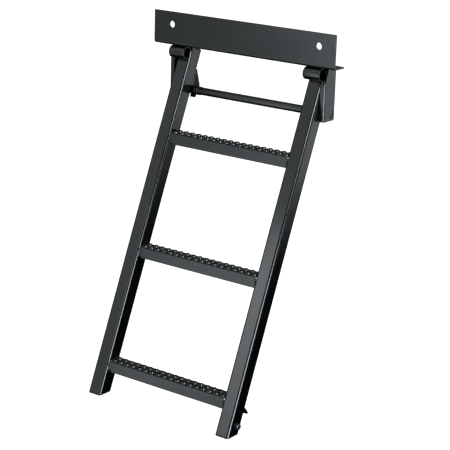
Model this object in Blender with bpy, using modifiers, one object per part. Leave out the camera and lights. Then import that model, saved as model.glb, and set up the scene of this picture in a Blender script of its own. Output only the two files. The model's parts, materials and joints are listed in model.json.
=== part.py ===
"""Retractable tailgate step: a three-tread ladder that hangs in a bolt-on bracket.

The bracket is a folded plate with two side brackets, two guide barrels and a cross bar.
The ladder's rails run between the barrels (in front) and the cross bar (behind).  Two hooks
on the rails hang on the cross bar when the ladder is out, and the ladder turns about it.
To stow it, the ladder is raised level and slid in over the bar, until a sprung pawl near
the right foot snaps behind the bar.

Units are metres.  The origin is on the plate's back face, midway between its two bolt
holes.  +X is to the right, +Y points at the vehicle and +Z is up.
"""

import math

import bmesh
import bpy
from mathutils import Matrix, Vector

# ---------------------------------------------------------------- driving dimensions

GAP = 0.0003                    # clearance kept between pieces that touch

# Folded mounting plate.  It reaches a little further to the left of the ladder.
PLATE_WIDTH = 0.441
PLATE_SHIFT = -0.0037           # plate centre, from the ladder's centre plane
PLATE_HEIGHT = 0.0682
SHEET = 0.004                   # thickness of the plate and of the side brackets
HOLE_SPACING = 0.357
HOLE_RADIUS = 0.00675
HOLE_ABOVE_FOLD = 0.0424        # bolt line above the underside of the plate
SHELF_DEPTH = 0.0250            # folded leg where the ladder passes, from the front face
SHELF_END_DEPTH = 0.0333        # the same at its two ends
NOTCH_HALF_WIDTH = 0.1790       # from the centre plane to the deeper ends

FRONT_Y = -SHEET                # front face of the plate
FOLD_Z = -HOLE_ABOVE_FOLD       # underside of the folded leg

# Ladder: measured down the rails from the fold, and back from their front face.
LEAN = math.radians(22.3)
RAIL_WIDTH = 0.0325
RAIL_DEPTH = 0.0335
RAIL_WALL = 0.0020
RAIL_CORNER = 0.0045
RAIL_CENTRE_X = 0.16185
RAIL_TOP = 0.0040
RAIL_FOOT = 0.7325              # to the front of the level foot cut
CAP_THICKNESS = 0.0030
CAP_INSERT = 0.0045

# Guide barrels, which the rails' front faces bear on.
BARREL_RADIUS = 0.0125
BARREL_BORE = 0.0105
BARREL_BACK = 0.0104            # axis behind the plate's front face
BARREL_DROP = 0.0135            # axis below the fold
BARREL_INNER_X = 0.1455
BARREL_OUTER_X = 0.1840

# Cross bar, behind the rails.
BAR_RADIUS = 0.0080
BAR_DOWN = 0.0832               # axis, down the rails
BAR_CLEARANCE = 0.0004          # between the bar and the rails' rear faces
COLLAR_RADIUS = 0.0090
COLLAR_LENGTH = 0.0175
SPACER_RADIUS = 0.0110
SPACER_LENGTH = 0.0042

# Side brackets.
BRACKET_OUTER_X = 0.1900
BRACKET_FRONT = 0.0114          # behind the plate's front face
BRACKET_REAR = 0.0480
BRACKET_BOTTOM = 0.1060         # below the fold
BRACKET_CORNER = 0.0030
FLANGE_INNER_X = 0.1796
BRACKET_SHOULDER = 0.0235       # front of the sheet where it meets the fold
SHOULDER_DROP = 0.0340          # below the fold, where the front edge turns upright
BEND_RADIUS = 0.0040

# Treads: level channels, welded between the rails.
TREAD_DOWN = 0.1851             # first tread's top front edge, down the rails
TREAD_PITCH = 0.2390
TREAD_COUNT = 3
TREAD_SETBACK = 0.0005          # behind the rails' front faces
TREAD_DEPTH = 0.0335
TREAD_LIP = 0.0228
TREAD_REAR_LIP = 0.0030
TREAD_SHEET = 0.0025

# Hooks behind the rails.
HOOK_INNER_X = 0.1475
HOOK_THICKNESS = 0.0120
HOOK_TOP = 0.0410               # where the hook leaves the rail
HOOK_SHOULDER = 0.0690
HOOK_END = 0.0970
HOOK_REACH = 0.0580
HOOK_TIP = 0.0540               # outside of the leg at its end
HOOK_LEG_INSIDE = 0.0503

# Stowing latch inside the right rail, its barb through a slot at the rail's rear corner.
PIVOT_DOWN = 0.7085
PIVOT_BACK = 0.0227
PAWL_THICKNESS = 0.0044
PAWL_OUTER_X = 0.1757           # just inside the rail's outer wall
PAWL_BOSS = 0.0060              # radius round the pivot
PAWL_UNDERSIDE = 0.6820         # flat face that catches the cross bar
PAWL_HEEL = 0.0296              # back edge, which stops on the inside of the rear wall
PAWL_NOSE = 0.0502
SLOT_TOP = 0.6645
SLOT_BOTTOM = 0.6845
BOLT_RADIUS = 0.0030
BOLT_HEAD_RADIUS = 0.0064
BOLT_HEAD_HEIGHT = 0.0038
NUT_RADIUS = 0.0056
NUT_HEIGHT = 0.0048
SPRING_WIRE = 0.0006            # radius
SPRING_RADIUS = 0.0045
SPRING_TURNS = 3
SPRING_PITCH = 0.0017
SPRING_LEG = 0.0120

# ---------------------------------------------------------------- derived places

BARREL_Y = FRONT_Y + BARREL_BACK
BARREL_Z = FOLD_Z - BARREL_DROP
BRACKET_FRONT_Y = FRONT_Y + BRACKET_FRONT
BRACKET_REAR_Y = FRONT_Y + BRACKET_REAR
BRACKET_BOTTOM_Z = FOLD_Z - BRACKET_BOTTOM
RAIL_INNER_X = RAIL_CENTRE_X - RAIL_WIDTH / 2
RAIL_OUTER_X = RAIL_CENTRE_X + RAIL_WIDTH / 2
BAR_BACK = RAIL_DEPTH + BAR_CLEARANCE + BAR_RADIUS

DOWN = Vector((0, -math.sin(LEAN), -math.cos(LEAN)))
BACK = Vector((0, math.cos(LEAN), -math.sin(LEAN)))

# The rails' front plane just clears the barrels.
RAIL_FRONT_Y = BARREL_Y + BARREL_DROP * math.tan(LEAN) + (BARREL_RADIUS + GAP) / math.cos(LEAN)
LADDER_ORIGIN = Vector((0, RAIL_FRONT_Y, FOLD_Z))


def ladder_point(x, down, back):
    """A world point from a place on the ladder."""
    return LADDER_ORIGIN + Vector((x, 0, 0)) + DOWN * down + BACK * back


BAR_POINT = ladder_point(0, BAR_DOWN, BAR_BACK)
PAWL_X = PAWL_OUTER_X - PAWL_THICKNESS / 2
PIVOT_POINT = ladder_point(PAWL_X, PIVOT_DOWN, PIVOT_BACK)

# ---------------------------------------------------------------- scene and materials


def clear_scene():
    for old in list(bpy.data.objects):
        bpy.data.objects.remove(old, do_unlink=True)
    for old in list(bpy.data.collections):
        bpy.data.collections.remove(old)


def new_collection(name):
    collection = bpy.data.collections.new(name)
    bpy.context.scene.collection.children.link(collection)
    return collection


def make_material(name, color, roughness, metallic=0.0):
    material = bpy.data.materials.new(name)
    material.use_nodes = True
    shader = material.node_tree.nodes["Principled BSDF"]
    shader.inputs["Base Color"].default_value = (*color, 1.0)
    shader.inputs["Roughness"].default_value = roughness
    shader.inputs["Metallic"].default_value = metallic
    return material


clear_scene()
PARTS = new_collection("tailgate_step")
CUTTERS = new_collection("tailgate_step_cutters")

PLATE_COAT = make_material("plate_coat", (0.045, 0.047, 0.050), 0.42)
LADDER_COAT = make_material("ladder_coat", (0.040, 0.042, 0.045), 0.40)
BAR_COAT = make_material("bar_coat", (0.030, 0.031, 0.033), 0.30)
CAP_PLASTIC = make_material("cap_plastic", (0.015, 0.015, 0.016), 0.60)
COLLAR_PLASTIC = make_material("collar_plastic", (0.020, 0.020, 0.021), 0.55)
BRIGHT_STEEL = make_material("bright_steel", (0.55, 0.56, 0.58), 0.35, 1.0)
PAWL_STEEL = make_material("pawl_steel", (0.060, 0.060, 0.062), 0.40, 0.6)

# ---------------------------------------------------------------- modelling helpers


def finish(obj, material, smooth_angle=None):
    obj.data.materials.clear()
    obj.data.materials.append(material)
    if smooth_angle is not None:
        obj.data.shade_smooth()
        obj.data.set_sharp_from_angle(angle=math.radians(smooth_angle))
    return obj


def mesh_object(name, mesh_builder, collection=PARTS):
    """An object from a function that fills a bmesh."""
    data = bpy.data.meshes.new(name)
    work = bmesh.new()
    mesh_builder(work)
    bmesh.ops.recalc_face_normals(work, faces=work.faces)
    work.to_mesh(data)
    work.free()
    obj = bpy.data.objects.new(name, data)
    collection.objects.link(obj)
    return obj


def outline_object(name, outline, thickness, collection=PARTS, holes=()):
    """A flat outline in the local XY plane, thickened along local Z, as one closed mesh."""
    curve = bpy.data.curves.new(name + "_outline", "CURVE")
    curve.dimensions = "2D"
    curve.fill_mode = "BOTH"
    curve.extrude = thickness / 2
    for points in (outline, *holes):
        spline = curve.splines.new("POLY")
        spline.points.add(len(points) - 1)
        for point, (u, v) in zip(spline.points, points):
            point.co = (u, v, 0, 1)
        spline.use_cyclic_u = True
    flat = bpy.data.objects.new(name + "_outline", curve)
    bpy.context.scene.collection.objects.link(flat)
    obj = curve_to_mesh(flat, name, collection)
    return obj


def curve_to_mesh(flat, name, collection=PARTS):
    """Swap a curve object for a welded mesh object in the same place."""
    bpy.context.view_layer.update()
    evaluated = flat.evaluated_get(bpy.context.evaluated_depsgraph_get())
    data = bpy.data.meshes.new_from_object(evaluated)
    work = bmesh.new()
    work.from_mesh(data)
    bmesh.ops.remove_doubles(work, verts=work.verts, dist=0.00001)
    bmesh.ops.recalc_face_normals(work, faces=work.faces)
    work.to_mesh(data)
    work.free()
    data.name = name
    obj = bpy.data.objects.new(name, data)
    obj.matrix_world = flat.matrix_world
    collection.objects.link(obj)
    bpy.data.objects.remove(flat, do_unlink=True)
    return obj


def cylinder_x(name, radius, x_low, x_high, centre, sides=32, collection=PARTS):
    """A cylinder along X between two planes, through the Y and Z of a centre point."""
    def build(work):
        turn = Matrix.Rotation(math.pi / 2, 4, "Y")
        bmesh.ops.create_cone(work, cap_ends=True, segments=sides, radius1=radius,
                              radius2=radius, depth=x_high - x_low, matrix=turn)
    obj = mesh_object(name, build, collection)
    obj.location = ((x_low + x_high) / 2, centre[1], centre[2])
    return obj


def combine(obj, helper, operation):
    """Add a Boolean whose helper moves to the cutters' collection."""
    for owner in list(helper.users_collection):
        owner.objects.unlink(helper)
    CUTTERS.objects.link(helper)
    helper.hide_render = True
    helper.display_type = "WIRE"
    modifier = obj.modifiers.new(helper.name, "BOOLEAN")
    modifier.operation = operation
    modifier.solver = "EXACT"
    modifier.object = helper
    return obj


def cut(obj, cutter):
    return combine(obj, cutter, "DIFFERENCE")


def join(obj, helper):
    return combine(obj, helper, "UNION")


def keep_inside(obj, helper):
    return combine(obj, helper, "INTERSECT")


def bevel(obj, width, segments=2, angle=40):
    modifier = obj.modifiers.new("bevel", "BEVEL")
    modifier.width = width
    modifier.segments = segments
    modifier.limit_method = "ANGLE"
    modifier.angle_limit = math.radians(angle)
    return obj


def rounded(corners, steps=4):
    """An outline whose corners (u, v, radius) are replaced by arcs."""
    points = []
    count = len(corners)
    for i, (u, v, radius) in enumerate(corners):
        here = Vector((u, v))
        if radius == 0:
            points.append((u, v))
            continue
        before = (Vector(corners[i - 1][:2]) - here).normalized()
        after = (Vector(corners[(i + 1) % count][:2]) - here).normalized()
        half = before.angle(after) / 2
        centre = here + (before + after).normalized() * (radius / math.sin(half))
        start = here + before * (radius / math.tan(half)) - centre
        end = here + after * (radius / math.tan(half)) - centre
        sweep = start.angle_signed(end)
        for k in range(steps + 1):
            arm = start.copy()
            arm.rotate(Matrix.Rotation(-sweep * k / steps, 2))
            points.append(tuple(centre + arm))
    return points


def arc(u, v, radius, start, end, steps):
    """Points on an arc, angles in degrees."""
    angles = [math.radians(start + (end - start) * k / steps) for k in range(steps + 1)]
    return [(u + radius * math.cos(a), v + radius * math.sin(a)) for a in angles]


def stand_in_yz(obj, x):
    """Turn a flat outline so that its (u, v) are world (Y, Z), at a plane of constant X."""
    obj.matrix_world = Matrix(((0, 0, 1, x), (1, 0, 0, 0), (0, 1, 0, 0), (0, 0, 0, 1)))
    return obj


def stand_on_ladder(obj, x):
    """Turn a flat outline so that its (u, v) are (down, back) on the ladder."""
    obj.matrix_world = Matrix((
        (0, 0, 1, x),
        (DOWN.y, BACK.y, 0, LADDER_ORIGIN.y),
        (DOWN.z, BACK.z, 0, LADDER_ORIGIN.z),
        (0, 0, 0, 1)))
    return obj


def across_ladder(obj, down):
    """Turn a flat outline so that its (u, v) are (X, back), square to the rails."""
    obj.matrix_world = Matrix((
        (1, 0, 0, 0),
        (0, BACK.y, DOWN.y, LADDER_ORIGIN.y + DOWN.y * down),
        (0, BACK.z, DOWN.z, LADDER_ORIGIN.z + DOWN.z * down),
        (0, 0, 0, 1)))
    return obj


# ---------------------------------------------------------------- mounting bracket

SIDES = (("left", -1), ("right", 1))


def make_mount_plate():
    """An L section whose folded leg is deeper at its ends."""
    top = FOLD_Z + PLATE_HEIGHT
    profile = rounded([
        (FRONT_Y, FOLD_Z, 0.006),
        (FRONT_Y + SHELF_END_DEPTH, FOLD_Z, 0),
        (FRONT_Y + SHELF_END_DEPTH, FOLD_Z + SHEET, 0),
        (0, FOLD_Z + SHEET, 0.002),
        (0, top, 0),
        (FRONT_Y, top, 0),
    ])
    plate = stand_in_yz(outline_object("mount_plate", profile, PLATE_WIDTH), PLATE_SHIFT)
    for label, side in SIDES:
        hole = mesh_object("bolt_hole_" + label, lambda work: bmesh.ops.create_cone(
            work, cap_ends=True, segments=32, radius1=HOLE_RADIUS, radius2=HOLE_RADIUS,
            depth=4 * SHEET, matrix=Matrix.Rotation(math.pi / 2, 4, "X")))
        hole.location = (side * HOLE_SPACING / 2, FRONT_Y + SHEET / 2, 0)
        cut(plate, hole)
    notch_depth = SHELF_END_DEPTH - SHELF_DEPTH
    outline = rounded([
        (-NOTCH_HALF_WIDTH, FRONT_Y + SHELF_DEPTH, 0.004),
        (NOTCH_HALF_WIDTH, FRONT_Y + SHELF_DEPTH, 0.004),
        (NOTCH_HALF_WIDTH, FRONT_Y + SHELF_DEPTH + 2 * notch_depth, 0),
        (-NOTCH_HALF_WIDTH, FRONT_Y + SHELF_DEPTH + 2 * notch_depth, 0),
    ])
    notch = outline_object("ladder_notch", outline, 4 * SHEET)
    notch.location = (0, 0, FOLD_Z)
    cut(plate, notch)
    return finish(plate, PLATE_COAT, 30)


def make_side_bracket(label, side):
    """A sheet with its front edge turned in; the turned edge is notched for the barrel."""
    top = FOLD_Z - GAP
    rough = 0.0005              # trimmed off by the side outline
    section = rounded([
        (FLANGE_INNER_X, BRACKET_FRONT_Y - rough, 0),
        (BRACKET_OUTER_X, BRACKET_FRONT_Y - rough, BEND_RADIUS),
        (BRACKET_OUTER_X, BRACKET_REAR_Y + 0.01, 0),
        (BRACKET_OUTER_X - SHEET, BRACKET_REAR_Y + 0.01, 0),
        (BRACKET_OUTER_X - SHEET, BRACKET_FRONT_Y + SHEET, 0.0005),
        (FLANGE_INNER_X, BRACKET_FRONT_Y + SHEET, 0),
    ])
    if side < 0:
        section = [(-u, v) for u, v in reversed(section)]
    height = BRACKET_BOTTOM + 0.04
    bracket = outline_object("side_bracket_" + label, section, height)
    bracket.location = (0, 0, FOLD_Z - BRACKET_BOTTOM / 2)
    side_outline = rounded([
        (FRONT_Y + BRACKET_SHOULDER, top, 0),
        (BRACKET_FRONT_Y, FOLD_Z - SHOULDER_DROP, 0.006),
        (BRACKET_FRONT_Y, BRACKET_BOTTOM_Z, BRACKET_CORNER / 2),
        (BRACKET_REAR_Y, BRACKET_BOTTOM_Z, BRACKET_CORNER),
        (BRACKET_REAR_Y, top, 0),
    ])
    centre_x = side * (BRACKET_OUTER_X - SHEET / 2)
    prism = outline_object("bracket_outline_" + label, side_outline, 0.04)
    keep_inside(bracket, stand_in_yz(prism, centre_x))
    low, high = sorted((side * 0.17, side * (BRACKET_OUTER_X - SHEET)))
    cut(bracket, cylinder_x("barrel_notch_" + label, BARREL_RADIUS + GAP, low, high,
                            (0, BARREL_Y, BARREL_Z)))
    low, high = centre_x - 0.02, centre_x + 0.02
    cut(bracket, cylinder_x("bar_hole_" + label, BAR_RADIUS + GAP, low, high, BAR_POINT))
    return finish(bracket, PLATE_COAT, 30)


def make_barrel(label, side):
    """A short open tube, welded to the turned edge of the side bracket."""
    low, high = sorted((side * BARREL_INNER_X, side * BARREL_OUTER_X))
    barrel = cylinder_x("guide_barrel_" + label, BARREL_RADIUS, low, high,
                        (0, BARREL_Y, BARREL_Z))
    bore = cylinder_x("barrel_bore_" + label, BARREL_BORE, low - 0.01, high + 0.01,
                      (0, BARREL_Y, BARREL_Z))
    cut(barrel, bore)
    return finish(barrel, PLATE_COAT, 30)


# ---------------------------------------------------------------- cross bar


def make_cross_bar():
    reach = BRACKET_OUTER_X - GAP
    bar = cylinder_x("cross_bar", BAR_RADIUS, -reach, reach, BAR_POINT)
    return finish(bar, BAR_COAT, 30)


def ring_on_bar(name, radius, x_low, x_high, material):
    """A ring that fits the cross bar."""
    ring = cylinder_x(name, radius, x_low, x_high, BAR_POINT)
    bore = cylinder_x(name + "_bore", BAR_RADIUS + GAP, x_low - 0.01, x_high + 0.01, BAR_POINT)
    cut(ring, bore)
    return finish(ring, material, 30)


def make_bar_rings(label, side):
    inner_end = RAIL_INNER_X - 0.0010
    low, high = sorted((side * inner_end, side * (inner_end - COLLAR_LENGTH)))
    ring_on_bar("bar_collar_" + label, COLLAR_RADIUS, low, high, COLLAR_PLASTIC)
    outer_end = BRACKET_OUTER_X - SHEET - GAP
    low, high = sorted((side * outer_end, side * (outer_end - SPACER_LENGTH)))
    ring_on_bar("bar_spacer_" + label, SPACER_RADIUS, low, high, COLLAR_PLASTIC)


# ---------------------------------------------------------------- ladder


def rail_section(inset):
    """The rail's section, in (X, back) about its centre line."""
    half = RAIL_WIDTH / 2 - inset
    corner = RAIL_CORNER - inset
    return rounded([
        (-half, inset, corner),
        (half, inset, corner),
        (half, RAIL_DEPTH - inset, corner),
        (-half, RAIL_DEPTH - inset, corner),
    ], steps=3)


def foot_level():
    """World Z of the rails' level foot cut."""
    return ladder_point(0, RAIL_FOOT, 0).z


def block_below(name, z_top):
    """A cutter that takes away everything below a height."""
    size = 0.12

    def build(work):
        bmesh.ops.create_cube(work, size=size)
    block = mesh_object(name, build)
    block.location = ladder_point(0, RAIL_FOOT, RAIL_DEPTH / 2)
    block.location.z = z_top - size / 2
    return block


def make_rail(label, side):
    """A square tube with a square top and a level foot."""
    length = RAIL_FOOT + 0.01 - RAIL_TOP
    middle = (RAIL_FOOT + 0.01 + RAIL_TOP) / 2
    x = side * RAIL_CENTRE_X
    rail = outline_object("rail_" + label, rail_section(0), length,
                          holes=(rail_section(RAIL_WALL),))
    across_ladder(rail, middle)
    rail.matrix_world = Matrix.Translation((x, 0, 0)) @ rail.matrix_world
    foot_cut = block_below("foot_cut_" + label, foot_level())
    foot_cut.location.x = x
    cut(rail, foot_cut)
    if side > 0:
        cut(rail, cylinder_x("bolt_way", BOLT_RADIUS + GAP, x - 0.02, x + 0.02, PIVOT_POINT, 20))
        half = PAWL_THICKNESS / 2 + 2 * GAP
        inside = RAIL_DEPTH - RAIL_CORNER - 0.001
        slot = outline_object("barb_slot", [
            (SLOT_TOP, inside), (SLOT_BOTTOM, inside),
            (SLOT_BOTTOM, RAIL_DEPTH + 0.005), (SLOT_TOP, RAIL_DEPTH + 0.005)], 2 * half)
        cut(rail, stand_on_ladder(slot, PAWL_X))
    return finish(rail, LADDER_COAT, 30)


def make_caps(label, side):
    """Plugs in the rail's ends, each a plate with an insert."""
    x = side * RAIL_CENTRE_X
    top = outline_object("rail_top_cap_" + label, rail_section(0), CAP_THICKNESS)
    across_ladder(top, RAIL_TOP - GAP - CAP_THICKNESS / 2)
    top.matrix_world = Matrix.Translation((x, 0, 0)) @ top.matrix_world
    insert = outline_object("top_insert_" + label, rail_section(RAIL_WALL + GAP),
                            CAP_INSERT + 2 * GAP)
    across_ladder(insert, RAIL_TOP + CAP_INSERT / 2 - GAP)
    insert.matrix_world = Matrix.Translation((x, 0, 0)) @ insert.matrix_world
    join(top, insert)
    finish(top, CAP_PLASTIC, 30)

    length = 0.06
    start = RAIL_FOOT - 0.03
    foot = outline_object("foot_cap_" + label, rail_section(0), length)
    across_ladder(foot, start + length / 2)
    foot.matrix_world = Matrix.Translation((x, 0, 0)) @ foot.matrix_world
    keep_inside(foot, level_slab("foot_trim_" + label, x, foot_level() - GAP, CAP_THICKNESS))
    plug = outline_object("foot_plug_" + label, rail_section(RAIL_WALL + GAP), length)
    across_ladder(plug, start + length / 2)
    plug.matrix_world = Matrix.Translation((x, 0, 0)) @ plug.matrix_world
    plug_top = foot_level() + CAP_INSERT - 0.001
    keep_inside(plug, level_slab("plug_trim_" + label, x, plug_top, CAP_INSERT + 0.0005))
    join(foot, plug)
    finish(foot, CAP_PLASTIC, 30)


def level_slab(name, x, z_top, height):
    """A wide level slab under a rail that ends at z_top."""
    def build(work):
        bmesh.ops.create_cube(work, size=1)
        bmesh.ops.scale(work, vec=(0.2, 0.2, height), verts=work.verts)
    slab = mesh_object(name, build)
    slab.location = ladder_point(x, RAIL_FOOT, RAIL_DEPTH / 2)
    slab.location.z = z_top - height / 2
    return slab


def make_tread(label, down):
    """A level channel: top, deep front lip and short rear lip."""
    corner = ladder_point(0, down, TREAD_SETBACK)
    front, top = corner.y, corner.z
    rear = front + TREAD_DEPTH
    t = TREAD_SHEET
    profile = rounded([
        (front, top, t + 0.001),
        (front, top - TREAD_LIP, 0),
        (front + t, top - TREAD_LIP, 0),
        (front + t, top - t, 0.001),
        (rear - t, top - t, 0.001),
        (rear - t, top - TREAD_REAR_LIP, 0),
        (rear, top - TREAD_REAR_LIP, 0),
        (rear, top, t),
    ], steps=3)
    width = 2 * (RAIL_INNER_X - GAP)
    tread = stand_in_yz(outline_object("tread_" + label, profile, width), 0)
    return finish(tread, LADDER_COAT, 30)


def make_hook(label, side):
    """A plate behind the rail, open towards the foot, that hangs on the cross bar."""
    rail_side = RAIL_DEPTH + GAP
    slot = BAR_RADIUS + 0.0004
    slot_edge = BAR_BACK + slot
    outline = (
        rounded([
            (BAR_DOWN, rail_side, 0),
            (HOOK_TOP, rail_side, 0),
            (HOOK_TOP, rail_side + 0.002, 0),
            (HOOK_SHOULDER, HOOK_REACH, 0.006),
            (HOOK_SHOULDER + 0.012, HOOK_REACH, 0.006),
            (HOOK_END, HOOK_TIP, 0.0015),
            (HOOK_END, HOOK_LEG_INSIDE + 0.0005, 0.0008),
        ])
        + [(BAR_DOWN, slot_edge)]
        + arc(BAR_DOWN, BAR_BACK, slot, 90, 270, 10)[1:]
    )
    centre_x = side * (HOOK_INNER_X + HOOK_THICKNESS / 2)
    hook = outline_object("hook_" + label, outline, HOOK_THICKNESS)
    stand_on_ladder(hook, centre_x)
    return finish(hook, LADDER_COAT, 30)


# ---------------------------------------------------------------- stowing latch


def make_pawl():
    """A lever pivoted low in the rail, with a ramped barb."""
    outline = (
        arc(PIVOT_DOWN, PIVOT_BACK, PAWL_BOSS, 80, -80, 10)
        + rounded([
            (PIVOT_DOWN - 0.0185, PIVOT_BACK - 0.0052, 0.0060),
            (PIVOT_DOWN - 0.0300, PIVOT_BACK - 0.0032, 0.0060),
            (PAWL_UNDERSIDE - 0.0143, PAWL_HEEL - 0.0012, 0.0012),
            (PAWL_UNDERSIDE - 0.0047, PAWL_NOSE - 0.0026, 0.0020),
            (PAWL_UNDERSIDE - 0.0017, PAWL_NOSE, 0.0008),
            (PAWL_UNDERSIDE, PAWL_NOSE, 0.0005),
            (PAWL_UNDERSIDE, PAWL_HEEL, 0.0010),
            (PIVOT_DOWN - 0.0060, PAWL_HEEL, 0.0040),
        ])
    )
    local = [(u - PIVOT_DOWN, v - PIVOT_BACK) for u, v in outline]
    pawl = outline_object("latch_pawl", local, PAWL_THICKNESS)
    stand_on_ladder(pawl, PAWL_X)
    pawl.matrix_world.translation = PIVOT_POINT
    low, high = PAWL_X - 0.01, PAWL_X + 0.01
    cut(pawl, cylinder_x("pawl_bore", BOLT_RADIUS + GAP, low, high, PIVOT_POINT, 20))
    return finish(pawl, PAWL_STEEL, 30)


def make_latch_bolt():
    """A bolt through the rail with its head on the outer side, and its nut."""
    x_head = RAIL_OUTER_X + GAP
    nut_high = RAIL_INNER_X - GAP
    x_end = nut_high - NUT_HEIGHT - 0.001
    shank = cylinder_x("latch_bolt", BOLT_RADIUS, x_end, x_head + 0.001, PIVOT_POINT, 20)
    head = cylinder_x("bolt_head", BOLT_HEAD_RADIUS, x_head, x_head + BOLT_HEAD_HEIGHT,
                      PIVOT_POINT, 6)
    join(shank, bevel(head, 0.0006, 1))
    finish(shank, BRIGHT_STEEL, 30)
    nut = cylinder_x("latch_nut", NUT_RADIUS, nut_high - NUT_HEIGHT, nut_high, PIVOT_POINT, 6)
    bore = cylinder_x("nut_bore", BOLT_RADIUS + GAP, nut_high - 0.02, nut_high + 0.01,
                      PIVOT_POINT, 20)
    cut(nut, bore)
    finish(nut, BRIGHT_STEEL, 30)


def make_spring():
    """A torsion spring round the bolt, inside the rail."""
    steps = 12
    start_x = PAWL_X - PAWL_THICKNESS / 2 - 2 * SPRING_WIRE
    points = [(start_x, SPRING_RADIUS, SPRING_LEG)]
    for k in range(SPRING_TURNS * steps + 1):
        turn = 2 * math.pi * k / steps
        x = start_x - SPRING_PITCH * k / steps
        points.append((x, SPRING_RADIUS * math.cos(turn), -SPRING_RADIUS * math.sin(turn)))
    points.append((points[-1][0], SPRING_RADIUS, SPRING_LEG))
    curve = bpy.data.curves.new("latch_spring", "CURVE")
    curve.dimensions = "3D"
    curve.bevel_depth = SPRING_WIRE
    curve.bevel_resolution = 1
    curve.use_fill_caps = True
    spline = curve.splines.new("POLY")
    spline.points.add(len(points) - 1)
    for point, (x, back, up) in zip(spline.points, points):
        place = ladder_point(x, PIVOT_DOWN - up, PIVOT_BACK - back)
        point.co = (*place, 1)
    wire = bpy.data.objects.new("latch_spring_wire", curve)
    bpy.context.scene.collection.objects.link(wire)
    return finish(curve_to_mesh(wire, "latch_spring"), BRIGHT_STEEL, 60)


# ---------------------------------------------------------------- build


def axis_empty(name, place, parent=None):
    """An empty on a joint's axis."""
    empty = bpy.data.objects.new(name, None)
    empty.empty_display_size = 0.02
    empty.location = place
    PARTS.objects.link(empty)
    if parent is not None:
        attach(empty, parent)
    return empty


def attach(obj, parent):
    """Parent an object where it stands."""
    bpy.context.view_layer.update()
    obj.parent = parent
    obj.matrix_parent_inverse = parent.matrix_world.inverted()


make_mount_plate()
make_cross_bar()
for side_label, side_sign in SIDES:
    make_side_bracket(side_label, side_sign)
    make_barrel(side_label, side_sign)
    make_bar_rings(side_label, side_sign)
    make_rail(side_label, side_sign)
    make_caps(side_label, side_sign)
    make_hook(side_label, side_sign)
for index, tread_label in enumerate(("top", "middle", "bottom")[:TREAD_COUNT]):
    make_tread(tread_label, TREAD_DOWN + index * TREAD_PITCH)
make_pawl()
make_latch_bolt()
make_spring()

swing_axis = axis_empty("swing_axis", BAR_POINT)
slide_axis = axis_empty("slide_axis", BAR_POINT, swing_axis)
latch_axis = axis_empty("latch_axis", PIVOT_POINT, slide_axis)
for obj in list(PARTS.objects):
    if obj.type != "MESH":
        continue
    if obj.name == "cross_bar" or obj.name.startswith("bar_"):
        attach(obj, swing_axis)
    elif obj.name == "latch_pawl":
        attach(obj, latch_axis)
    elif obj.name.startswith(("rail_", "foot_cap", "hook_", "tread_", "latch_")):
        attach(obj, slide_axis)
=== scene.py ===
"""Looks of the tailgate step: finely modelled pieces on the CAD frame, coats, lights, camera.

All lengths are in metres. The ladder's pieces are placed by on_ladder(x, down, back): across the
ladder, down along its rails, and back from the rails' front plane.
"""

import json
import math
import random

import bmesh
import bpy
from mathutils import Matrix, Vector, noise

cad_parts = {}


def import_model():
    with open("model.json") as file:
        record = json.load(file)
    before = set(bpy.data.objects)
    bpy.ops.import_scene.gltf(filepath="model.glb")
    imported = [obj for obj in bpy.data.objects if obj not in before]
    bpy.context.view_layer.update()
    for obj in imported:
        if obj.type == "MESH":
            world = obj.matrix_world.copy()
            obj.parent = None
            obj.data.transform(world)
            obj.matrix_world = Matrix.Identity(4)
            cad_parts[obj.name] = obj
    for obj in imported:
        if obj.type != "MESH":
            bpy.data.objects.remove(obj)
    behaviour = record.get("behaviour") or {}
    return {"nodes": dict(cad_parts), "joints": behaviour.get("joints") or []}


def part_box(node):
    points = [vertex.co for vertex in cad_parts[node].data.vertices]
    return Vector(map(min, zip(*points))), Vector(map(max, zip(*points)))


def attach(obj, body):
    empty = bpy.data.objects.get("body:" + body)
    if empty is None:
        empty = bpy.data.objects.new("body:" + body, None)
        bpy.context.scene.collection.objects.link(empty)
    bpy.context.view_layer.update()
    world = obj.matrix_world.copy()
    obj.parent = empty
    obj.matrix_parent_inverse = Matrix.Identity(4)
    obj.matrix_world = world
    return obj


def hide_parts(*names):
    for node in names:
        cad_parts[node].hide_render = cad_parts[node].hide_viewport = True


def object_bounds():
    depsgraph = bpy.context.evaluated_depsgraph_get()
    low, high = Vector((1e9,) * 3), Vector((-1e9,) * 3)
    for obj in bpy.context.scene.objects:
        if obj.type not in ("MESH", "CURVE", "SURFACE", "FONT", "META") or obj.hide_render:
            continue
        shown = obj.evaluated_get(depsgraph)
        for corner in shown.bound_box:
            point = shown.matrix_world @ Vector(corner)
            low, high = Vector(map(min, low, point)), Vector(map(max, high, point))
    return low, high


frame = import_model()
cad_low, cad_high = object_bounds()
JOINTS = {j["name"]: j for j in frame["joints"]}

# ---------------------------------------------------------------- places, from the frame

DOWN = -Vector(JOINTS["ladder_slide"]["axis"]).normalized()
BACK = Vector((0, -DOWN.z, DOWN.y))
BAR = Vector(JOINTS["ladder_swing"]["pos_m"])
PIVOT = Vector(JOINTS["latch_pawl_turn"]["pos_m"])
BOX = {name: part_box(name) for name in frame["nodes"]}

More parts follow.
